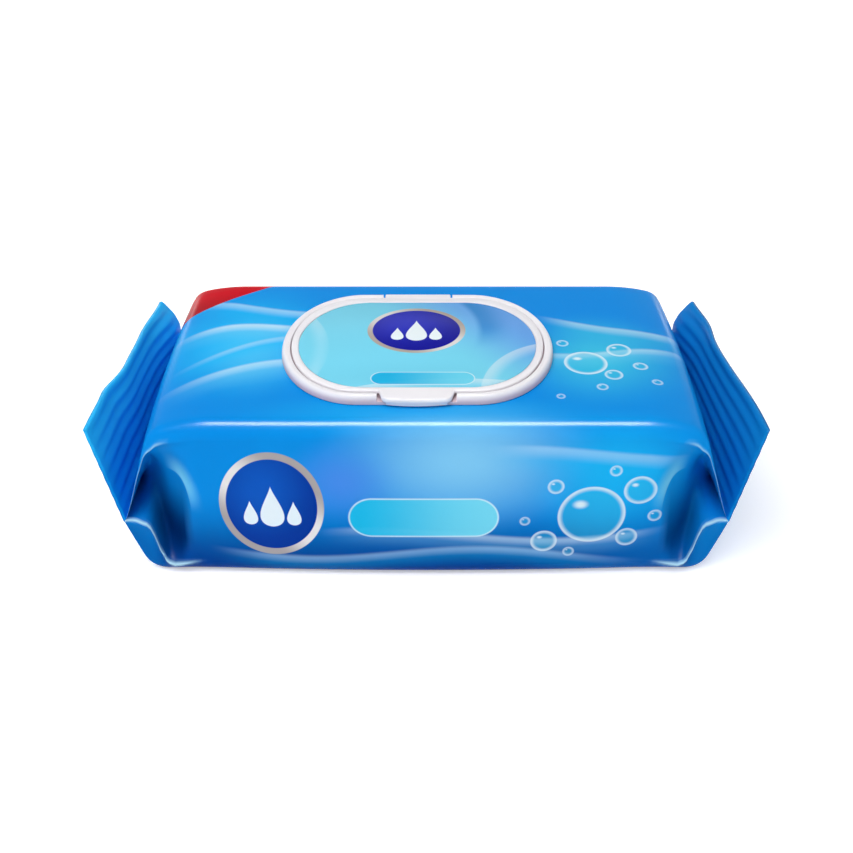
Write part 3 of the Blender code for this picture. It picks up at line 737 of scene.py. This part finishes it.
def capsule(tree, u, v, middle, half, high):  # below 1 inside a long rounded bar
    along = away(tree, calc(tree, "ABSOLUTE", away(tree, u, middle[0])), half - high)
    along = calc(tree, "MAXIMUM", along, 0.0)
    return calc(tree, "DIVIDE", root(tree, along, away(tree, v, middle[1])), high)


def addBar(tree, under, u, v, shape, colours):  # a long rounded bar with a thin light edge
    reach = capsule(tree, u, v, shape["centre"], shape["half"], shape["high"])
    fill = paint(tree, colours["bar"], colours["barPale"], fade(tree, u, *shape["pale"]))
    under = paint(tree, under, fill, fade(tree, reach, shape["fill"], 1.0, 0.95, 0.0))
    come, full, hold, gone = shape["edge"]
    edge = multiply(tree, fade(tree, reach, come, full), fade(tree, reach, hold, gone, 0.6, 0.0))
    return paint(tree, under, colours["white"], edge)


def addWallShade(tree, under, u, v, wall, wide):  # walls darken to the foot; the front has a pale glow
    foot = multiply(tree, fade(tree, wall, -75.0, -109.0), fade(tree, wall, -121.0, -115.0))
    ends = multiply(tree, fade(tree, wide, 98.0, 90.0, 0.6, 1.0), fade(tree, u, 20.0, 80.0, 1.0, 0.75))
    under = paint(tree, under, printAndPaintedLight["deepBlue"], multiply(tree, foot, ends))
    glow = fade(tree, distance(tree, u, v, *printAndPaintedLight["frontGlow"]), 0.0, 1.0, 0.92, 0.0)
    glow = multiply(tree, glow, fade(tree, v, -44.0, -51.0, 0.35, 1.0))
    return paint(tree, under, printAndPaintedLight["paleSky"], glow)


def addSealLightAndShade(tree, under, u, wide):  # painted light: the seals lighter to their free edge, less so on the right; painted shade: the right one deeper
    # painted light towards the free edge, less on the right seal
    free = multiply(tree, fade(tree, wide, 140.0, 163.0), fade(tree, u, 0.0, 140.0, 1.0, 0.3))
    under = paint(tree, under, printAndPaintedLight["sealBlue"], free)
    # painted shade on the right seal
    return paint(tree, under, printAndPaintedLight["deepBlue"], fade(tree, u, 124.0, 134.0, 0.0, 0.40))


def addPocketShadeAndHighlights(tree, under, u, wall, wide):  # painted shade in the pockets, painted light deep inside them, painted highlights on their edges and along the fold lines
    line = tree.nodes.new("ShaderNodeAttribute")
    line.attribute_name = "foldHighlight"
    line = line.outputs["Fac"]
    pocket = tree.nodes.new("ShaderNodeAttribute")
    pocket.attribute_name = "pocketShade"
    pocket = pocket.outputs["Fac"]
    # painted shade: darker low on the wall, weaker towards the seal root and on the right
    dark = multiply(tree, fade(tree, wall, -66.0, -98.0, 0.15, 0.94), fade(tree, wide, 106.0, 93.0, 0.1, 1.0))
    dark = multiply(tree, dark, fade(tree, u, -60.0, 60.0, 1.0, 0.7), pocket)
    under = paint(tree, under, printAndPaintedLight["pocketShadeBlue"], dark)
    # painted light deep inside the pocket, against its shade
    inner = multiply(tree, pocket, fade(tree, wide, 96.0, 112.0, 0.0, 0.5))
    under = paint(tree, under, printAndPaintedLight["azure"], inner)
    # painted highlight on the pocket's rounded inner edge
    edge = distance(tree, wide, wall, *printAndPaintedLight["pocketGlint"])
    glint = multiply(tree, fade(tree, edge, 0.92, 1.0), fade(tree, edge, 1.0, 1.65, 0.75, 0.0))
    glint = multiply(tree, glint, fade(tree, wall, -86.0, -72.0), fade(tree, wide, 89.5, 83.0))
    under = paint(tree, under, printAndPaintedLight["paleCyan"], glint)
    # painted highlights along the fold lines, pale and then white
    under = paint(tree, under, printAndPaintedLight["paleCyan"], multiply(tree, line, 0.9))
    return paint(tree, under, printAndPaintedLight["white"], multiply(tree, line, 0.5))


def addRedCorner(tree, under, u, v):
    shape = printAndPaintedLight["cornerShape"]
    above = away(tree, v, calc(tree, "ADD", multiply(tree, u, shape["slope"]), shape["rise"]))
    inside = multiply(tree, fade(tree, above, -0.3, 0.3), fade(tree, u, shape["left"], shape["left"] + 0.5))
    inside = multiply(tree, inside, fade(tree, v, shape["low"] + 0.3, shape["low"] - 0.3))
    red = paint(tree, printAndPaintedLight["red"], printAndPaintedLight["redDark"], fade(tree, v, 44.0, 30.0))
    return paint(tree, under, red, inside)


def filmMaterial():
    material, tree, shader = newMaterial("printed film", 0.20, 0.022)
    place = tree.nodes.new("ShaderNodeUVMap")
    place.uv_map = "print"
    split = tree.nodes.new("ShaderNodeSeparateXYZ")
    tree.links.new(place.outputs["UV"], split.inputs[0])
    u = multiply(tree, split.outputs["X"], 1000.0)
    v = multiply(tree, split.outputs["Y"], 1000.0)
    flat = tree.nodes.new("ShaderNodeCombineXYZ")
    plug(tree, u, flat.inputs[0])
    plug(tree, v, flat.inputs[1])
    wall = calc(tree, "MULTIPLY", calc(tree, "ABSOLUTE", v), -1.0)  # the same on the front and the back
    wide = calc(tree, "ABSOLUTE", u)
    soft = noise(tree, flat.outputs[0], 0.012, 2.0, 0.45)
    colour = paint(tree, printAndPaintedLight["azure"], printAndPaintedLight["cyan"], fade(tree, soft, 0.42, 0.75, 0.0, 0.15))
    colour = addSpots(tree, colour, u, v, printAndPaintedLight["topSpots"])
    colour = addRibbons(tree, colour, u, v, printAndPaintedLight["topRibbons"])
    colour = addBubbles(tree, colour, u, v, printAndPaintedLight["topBubbles"])
    colour = addWallShade(tree, colour, u, v, wall, wide)
    colour = addSpots(tree, colour, u, v, printAndPaintedLight["wallSpots"])
    colour = addRibbons(tree, colour, u, v, printAndPaintedLight["wallRibbons"])
    colour = addBubbles(tree, colour, u, v, printAndPaintedLight["frontBubbles"])
    colour = addBar(tree, colour, u, v, printAndPaintedLight["barShape"], printAndPaintedLight)
    colour = addBadge(tree, colour, u, v, printAndPaintedLight["badgeShape"], printAndPaintedLight)
    colour = addSealLightAndShade(tree, colour, u, wide)
    colour = addPocketShadeAndHighlights(tree, colour, u, wall, wide)
    colour = addRedCorner(tree, colour, u, v)
    tree.links.new(colour, shader.inputs["Base Color"])
    wrinkle = noise(tree, flat.outputs[0], 0.06, 3.0, 0.5)
    addBump(tree, shader, wrinkle, 0.2, 0.0006)
    return material


packFilm = makeFilm(filmMaterial())
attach(packFilm, "pack")
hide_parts("film_pack")


# Lid frame, lid and hinge: their shape, in metres

lid = {
    "centre": (-0.0033, -0.0028),
    "length": 0.0982,  # over the frame
    "depth": 0.0742,
    "straight": 0.040,
    "bottom": 0.0643,
    "frameHeight": 0.0034,
    "rim": 0.0031,
    "floor": 0.0009,
    "ledge": 0.0092,
    "groove": 0.0005,  # between the frame and the lid
    "top": 0.0679,
    "plate": 0.0013,
    "notchTop": 0.0654,
    "labelLength": 0.0862,
    "labelDepth": 0.0610,
    "labelStraight": 0.0352,
    "labelCentre": (-0.0033, -0.0040),
    "labelSunk": 0.0005,
    "tabWidth": 0.0262,
    "tabTaper": 0.0016,
    "tabReach": 0.0014,  # beyond the frame's foot
    "tabBow": 0.0009,
    "tabGap": 0.0004,  # at each side of the tab and of the hinge, in the frame's notches
    "hingeGap": 0.0008,
    "hingeWidth": 0.0252,
    "white": linear(244, 242, 246),
    "softWhite": linear(240, 238, 243),
    "footShade": linear(212, 188, 196),  # painted shade on the outer wall, towards its foot
}


def whiteMaterial():
    material, tree, shader = newMaterial("white moulding", 0.34, 0.025)
    place = tree.nodes.new("ShaderNodeTexCoord").outputs["Object"]
    tone = noise(tree, place, 55.0, 2.0)
    colour = paint(tree, lid["white"], lid["softWhite"], fade(tree, tone, 0.3, 0.7))
    split = tree.nodes.new("ShaderNodeSeparateXYZ")
    tree.links.new(place, split.inputs[0])
    front = lid["centre"][1] - lid["depth"] / 2
    # painted shade from near the top down to the foot, weaker on the tab's front
    foot = fade(tree, split.outputs["Z"], lid["bottom"] + 0.0006, lid["top"] - 0.0003, 0.95, 0.0)
    offTab = fade(tree, split.outputs["Y"], front - 0.0003, front + 0.0001, 0.2, 1.0)
    colour = paint(tree, colour, lid["footShade"], multiply(tree, foot, offTab))
    tree.links.new(colour, shader.inputs["Base Color"])
    tree.links.new(fade(tree, noise(tree, place, 900.0, 2.0), 0.2, 0.8, 0.28, 0.38), shader.inputs["Roughness"])
    addBump(tree, shader, noise(tree, place, 2600.0, 1.0), 0.06, 0.0001)
    return material


def makeFrame(material):
    ring = addOval("frameRing", lid["length"], lid["depth"], lid["straight"], lid["centre"], lid["bottom"])
    foot = 0.0006
    crown = lid["frameHeight"] - foot
    curve = lid["rim"] * 0.45
    extrudeBy(z=foot)
    before = (0.0, 0.0)
    for step in range(1, 9):  # the rounded outside
        angle = math.pi / 2 * step / 8
        now = (curve * (1 - math.cos(angle)), crown * math.sin(angle))
        insetBy(now[0] - before[0], now[1] - before[1])
        before = now
    insetBy(lid["rim"] - curve - 0.0003, -0.0003)
    insetBy(0.0001, -0.00005)
    insetBy(0.0002, -0.00025)
    extrudeBy(z=-(lid["frameHeight"] - 0.0006 - lid["floor"]))
    insetBy(lid["ledge"] - 0.0003)
    insetBy(0.0003, -0.0003)
    extrudeBy(z=-(lid["floor"] - 0.0003))
    pick(ring, "FACE", lambda part, place: len(part.verts) > 20)
    bpy.ops.mesh.delete(type="FACE")
    pick(ring, "EDGE", lambda part, place: part.is_boundary)
    bpy.ops.mesh.bridge_edge_loops()
    clearSelection()
    x, y = lid["centre"]
    front = y - lid["depth"] / 2
    back = y + lid["depth"] / 2
    tabHalf = lid["tabWidth"] / 2 + lid["tabGap"]
    hingeHalf = lid["hingeWidth"] / 2 + lid["hingeGap"]
    inward = lid["rim"] + 0.0002
    low, high = lid["notchTop"], 0.072  # the cuts end well above the frame
    cut = addBlock("tabNotch", (x - tabHalf, front - 0.004, low), (x + tabHalf, front + inward, high))
    joinTool(ring, cut, "DIFFERENCE")
    cut = addBlock("hingeNotch", (x - hingeHalf, back - inward, low), (x + hingeHalf, back + 0.004, high))
    joinTool(ring, cut, "DIFFERENCE")
    softenEdges(ring, 0.00015, 2, 50)
    finishPiece(ring, material)
    return ring


def makeLid(material):
    x, y = lid["centre"]
    edge = lid["rim"] + lid["groove"]
    under = lid["top"] - lid["plate"]
    length, depth = lid["length"] - 2 * edge, lid["depth"] - 2 * edge
    plate = addOval("flipLid", length, depth, lid["straight"], lid["centre"], under)
    extrudeBy(z=lid["plate"] - 0.00045)
    insetBy(0.00012, 0.00027)
    insetBy(0.00033, 0.00018)
    pick(plate, "FACE", lambda part, place: part.normal.z < -0.9)
    insetBy(0.0050)
    skirt = under - lid["bottom"] - lid["floor"] - 0.0004
    extrudeBy(z=-skirt)
    insetBy(0.0010)
    extrudeBy(z=skirt)
    clearSelection()
    size = (lid["labelLength"], lid["labelDepth"], lid["labelStraight"])
    addOval("labelSeat", *size, lid["labelCentre"], lid["top"] - lid["labelSunk"])
    extrudeBy(z=0.003)
    clearSelection()
    joinTool(plate, bpy.data.objects["labelSeat"], "DIFFERENCE")
    front = y - lid["depth"] / 2
    foot = front - lid["tabReach"]
    low = lid["notchTop"] + 0.0004
    joinTool(plate, makeTab(x, foot, front + edge + 0.0012, low), "UNION")
    back = y + lid["depth"] / 2
    half = lid["hingeWidth"] / 2
    near = (x - half, back - edge - 0.0012, lid["notchTop"] + 0.0006)
    knuckle = addBlock("hingeBlock", near, (x + half, back - 0.0004, lid["top"]))
    editPiece(knuckle)
    pick(knuckle, "EDGE", lambda part, place: place.y > back - 0.0005 and place.z > lid["top"] - 0.0001)
    bpy.ops.mesh.bevel(offset=0.0013, segments=6, affect="EDGES")
    clearSelection()
    softenEdges(knuckle, 0.0004, 3, 50)
    joinTool(plate, knuckle, "UNION")
    softenEdges(plate, 0.00012, 2, 50)
    finishPiece(plate, material)
    return plate


def makeTab(x, foot, inner, low):
    # the finger tab: a plate with a bowed front, rounded corners and a lip hanging at its tip
    clearSelection()
    half = lid["tabWidth"] / 2
    bpy.ops.mesh.primitive_plane_add(size=1, location=(0, 0, 0))
    tab = bpy.context.object
    tab.name = "fingerTab"
    editPiece(tab)
    bpy.ops.mesh.select_all(action="SELECT")
    bpy.ops.transform.resize(value=(2 * half, inner - foot, 1))
    bpy.ops.transform.translate(value=(x, (inner + foot) / 2, low))
    pick(tab, "VERT", lambda part, place: place.y < (inner + foot) / 2)
    bpy.ops.transform.resize(value=((half - lid["tabTaper"]) / half, 1, 1), center_override=(x, foot, low))
    bpy.ops.mesh.bevel(offset=0.0016, segments=6, affect="VERTICES")
    bpy.ops.mesh.select_mode(type="FACE")
    bpy.ops.mesh.select_all(action="SELECT")
    extrudeBy(z=lid["top"] - low)
    clearSelection()
    bow(tab, x, foot, half - lid["tabTaper"])
    softenEdges(tab, 0.0007, 4, 30)
    lipHalf = half - lid["tabTaper"] - 0.0012
    near = (x - lipHalf, foot + 0.0003, low - 0.0008)
    lip = addBlock("tabLip", near, (x + lipHalf, foot + 0.0011, low + 0.0008))
    bow(lip, x, foot + 0.0003, lipHalf)
    joinTool(tab, lip, "UNION")
    return tab


def bow(piece, x, foot, half):
    # pushes the middle of a front edge out
    editPiece(piece)
    near = lambda place: abs(place.y - foot) < 0.0002 and abs(place.x - x) < 0.002
    pick(piece, "EDGE", lambda part, place: near(place) and part.calc_length() > 0.01)
    bpy.ops.mesh.subdivide(number_cuts=11)
    clearSelection()
    for corner in piece.data.vertices:
        if corner.co.y < foot + 0.0004:
            share = (corner.co.x - x) / half
            corner.co.y -= lid["tabBow"] * max(0.0, 1 - share**2)


white = whiteMaterial()
frameRing = makeFrame(white)
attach(frameRing, "pack")
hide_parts("lid_base")
print("lid frame made")

flipLid = makeLid(white)
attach(flipLid, "lid")
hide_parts("lid")
print("lid made")


# Lid label

label = {
    "gap": 0.0003,
    "bottom": 0.0677,
    "thick": 0.0002,
    "paleCyan": linear(122, 216, 242),
    "cyan": linear(116, 208, 234),
    "periwinkle": linear(106, 170, 244),
    "midBlue": linear(40, 140, 216),
    "white": linear(238, 248, 252),
    "badgeLight": linear(30, 40, 190),
    "badgeDark": linear(16, 18, 152),
    "silver": linear(226, 222, 220),
    "silverDark": linear(178, 166, 156),
    "bar": linear(20, 176, 226),
    "barPale": linear(110, 214, 240),
    # places on the label, in millimetres from its middle
    "badgeShape": {"centre": (-0.4, 9.0), "size": (17.9, 16.4), "rim": 1.9, "drop": (4.0, 7.8)},
    "barShape": {
        "centre": (2.0, -24.6), "half": 18.0, "high": 4.1,
        "pale": (-12.0, 20.0), "fill": 0.96, "edge": (0.88, 0.95, 0.97, 1.05),
    },
    "darkArc": ((-15, 9), (40, 40)),
    "lowGlow": ((-6, -26), (46, 16)),
    # light arcs: middle, size, where they fade in along the label, and strength
    "lightArcs": (
        ((52, -34), (30, 34), (12, 28), 0.42),
        ((-66, -6), (34, 40), (-30, -38), 0.22),
        ((14, -52), (58, 27), (-34, -20), 0.40),
    ),
}


def labelMaterial():
    material, tree, shader = newMaterial("lid label print", 0.22, 0.02)
    split = tree.nodes.new("ShaderNodeSeparateXYZ")
    tree.links.new(tree.nodes.new("ShaderNodeTexCoord").outputs["Object"], split.inputs[0])
    u = multiply(tree, away(tree, split.outputs["X"], lid["labelCentre"][0]), 1000.0)
    v = multiply(tree, away(tree, split.outputs["Y"], lid["labelCentre"][1]), 1000.0)
    slant = calc(tree, "ADD", u, multiply(tree, v, 0.9))
    colour = paint(tree, label["paleCyan"], label["periwinkle"], fade(tree, slant, 4.0, 50.0))
    reach = distance(tree, u, v, *label["darkArc"])
    dark = multiply(tree, fade(tree, reach, 0.90, 0.99), fade(tree, reach, 0.99, 1.30, 1.0, 0.0))
    colour = paint(tree, colour, label["midBlue"], multiply(tree, dark, fade(tree, v, -6.0, 14.0, 0.0, 0.9)))
    low = fade(tree, distance(tree, u, v, *label["lowGlow"]), 0.2, 1.0, 0.7, 0.0)
    colour = paint(tree, colour, label["cyan"], low)
    for centre, size, ends, strength in label["lightArcs"]:
        reach = distance(tree, u, v, centre, size)
        edge = multiply(tree, fade(tree, reach, 1.02, 1.0), fade(tree, reach, 1.0, 0.80, 1.0, 0.0))
        edge = multiply(tree, edge, fade(tree, u, ends[0], ends[1]), strength)
        colour = paint(tree, colour, label["white"], edge)
    colour = addBar(tree, colour, u, v, label["barShape"], label)
    colour = addBadge(tree, colour, u, v, label["badgeShape"], label)
    tree.links.new(colour, shader.inputs["Base Color"])
    return material


def makeLabel(material):
    gap = 2 * label["gap"]
    size = (lid["labelLength"] - gap, lid["labelDepth"] - gap, lid["labelStraight"])
    piece = addOval("lidPrint", *size, lid["labelCentre"], label["bottom"])
    extrudeBy(z=label["thick"] - 0.00005)
    insetBy(0.00006, 0.00005)
    finishPiece(piece, material)
    return piece


lidPrint = makeLabel(labelMaterial())
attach(lidPrint, "lid")
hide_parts("lid_label")
print("lid label made")


# Hinge strip behind the lid, and the resealing label under it

hinge = {
    "width": 0.0252,
    "near": 0.0346,
    "thick": 0.0003,
    "low": 0.0646,
    "high": 0.0663,
}


def makeHinge(material):
    x = lid["centre"][0]
    half = hinge["width"] / 2
    far = (x + half, hinge["near"] + hinge["thick"], hinge["high"])
    strip = addBlock("hingeStrip", (x - half, hinge["near"], hinge["low"]), far)
    editPiece(strip)
    pick(strip, "EDGE", lambda part, place: abs(part.verts[0].co.z - part.verts[1].co.z) > 0.001)
    bpy.ops.mesh.subdivide(number_cuts=8)  # so that it bends
    finishPiece(strip, material)
    return strip


hingeStrip = makeHinge(white)
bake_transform(hingeStrip)
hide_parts("hinge_web")


reseal = {
    "film": linear(204, 224, 238),
    "tab": linear(86, 160, 224),
    "cutLine": linear(150, 178, 204),
    "tabEdge": -25.5,  # mm from the lid's middle
    "opening": (44.0, 17.0),  # die-cut opening under the label, length and depth in mm
}


def sealMaterial():
    material, tree, shader = newMaterial("resealing label", 0.25, 0.3)
    split = tree.nodes.new("ShaderNodeSeparateXYZ")
    tree.links.new(tree.nodes.new("ShaderNodeTexCoord").outputs["Object"], split.inputs[0])
    u = multiply(tree, away(tree, split.outputs["X"], lid["centre"][0]), 1000.0)
    v = multiply(tree, away(tree, split.outputs["Y"], lid["centre"][1]), 1000.0)
    edge = reseal["tabEdge"]
    colour = paint(tree, reseal["film"], reseal["tab"], fade(tree, u, edge + 0.3, edge - 0.3))
    half, high = reseal["opening"][0] / 2, reseal["opening"][1] / 2
    reach = capsule(tree, u, v, (3.0, 0.0), half, high)
    cut = multiply(tree, fade(tree, reach, 0.94, 0.98), fade(tree, reach, 0.99, 1.03, 1.0, 0.0))
    colour = paint(tree, colour, reseal["cutLine"], cut)
    tree.links.new(colour, shader.inputs["Base Color"])
    addBump(tree, shader, cut, 0.3, -0.0002)
    return material


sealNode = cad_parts["seal_label"]
sealNode.data.materials.clear()
sealNode.data.materials.append(sealMaterial())
print("labels and hinge made")


# Floor, light and camera

studio = {
    "floor": linear(250, 250, 250),
    "worldLight": 0.55,
    "distance": 1.2,
    "camera": {"place": (0.0, -0.3592, 0.2733), "lookDown": 34.3, "lens": 47.73, "sensor": 36},
    # name: azimuth (0 in front, 90 on the right), elevation, width, height, watts, only in reflections
    "lamps": {
        "key softbox": (-32, 58, 0.8, 0.5, 7.5, False),
        "overhead strip": (0, 79, 0.74, 0.42, 290.0, True),
        "left strip": (-147, 4, 0.07, 0.2, 0.24, True),
        "right strip": (147, 4, 0.07, 0.2, 0.24, True),
    },
}


def makeFloor():
    clearSelection()
    bpy.ops.mesh.primitive_plane_add(size=8, location=(0, 0, 0))
    floor = bpy.context.object
    floor.name = "floor"
    material = bpy.data.materials.new("pale floor")
    material.use_nodes = True
    tree = material.node_tree
    shader = tree.nodes["Principled BSDF"]
    shader.inputs["Base Color"].default_value = studio["floor"]
    shader.inputs["Roughness"].default_value = 0.9
    shader.inputs["Specular IOR Level"].default_value = 0.0
    rays = tree.nodes.new("ShaderNodeLightPath")
    seen = calc(tree, "MAXIMUM", rays.outputs["Is Camera Ray"], rays.outputs["Is Glossy Ray"])
    shader.inputs["Emission Color"].default_value = (1, 1, 1, 1)
    place = tree.nodes.new("ShaderNodeTexCoord").outputs["Object"]
    reach = tree.nodes.new("ShaderNodeVectorMath")
    reach.operation = "LENGTH"
    tree.links.new(place, reach.inputs[0])
    glow = fade(tree, reach.outputs["Value"], 0.4, 1.6, 0.38, 1.0)  # far floor as white as the background
    tree.links.new(multiply(tree, seen, glow), shader.inputs["Emission Strength"])
    floor.data.materials.append(material)


def makeWorld():
    world = bpy.data.worlds.new("studio")
    bpy.context.scene.world = world
    world.use_nodes = True
    tree = world.node_tree
    background = tree.nodes["Background"]
    background.inputs["Color"].default_value = (1, 1, 1, 1)
    rays = tree.nodes.new("ShaderNodeLightPath")
    seen = calc(tree, "MAXIMUM", rays.outputs["Is Camera Ray"], rays.outputs["Is Transmission Ray"])
    seen = calc(tree, "MAXIMUM", seen, rays.outputs["Is Glossy Ray"])
    strength = calc(tree, "ADD", multiply(tree, seen, 1.0 - studio["worldLight"]), studio["worldLight"])
    tree.links.new(strength, background.inputs["Strength"])


def addLamp(name, azimuth, elevation, width, height, watts, onlyGloss):
    lamp = bpy.data.lights.new(name, "AREA")
    lamp.shape = "RECTANGLE"
    lamp.size = width
    lamp.size_y = height
    lamp.energy = watts
    holder = bpy.data.objects.new(name, lamp)
    bpy.context.scene.collection.objects.link(holder)
    turn, rise = math.radians(azimuth), math.radians(elevation)
    level = math.cos(rise)
    out = Vector((math.sin(turn) * level, -math.cos(turn) * level, math.sin(rise)))
    holder.location = out * studio["distance"] + Vector((0, 0, 0.05))
    holder.rotation_euler = (-out).to_track_quat("-Z", "Y").to_euler()
    holder.visible_diffuse = not onlyGloss


def makeCamera():
    camera = studio["camera"]
    lens = bpy.data.cameras.new("photo view")
    lens.lens = camera["lens"]
    lens.sensor_width = camera["sensor"]
    holder = bpy.data.objects.new("photo view", lens)
    bpy.context.scene.collection.objects.link(holder)
    holder.location = camera["place"]
    holder.rotation_euler = (math.radians(90 - camera["lookDown"]), 0, 0)
    bpy.context.scene.camera = holder


makeFloor()
makeWorld()
for name, values in studio["lamps"].items():
    addLamp(name, *values)
makeCamera()
bpy.context.scene.view_settings.view_transform = "Standard"
print("studio set")
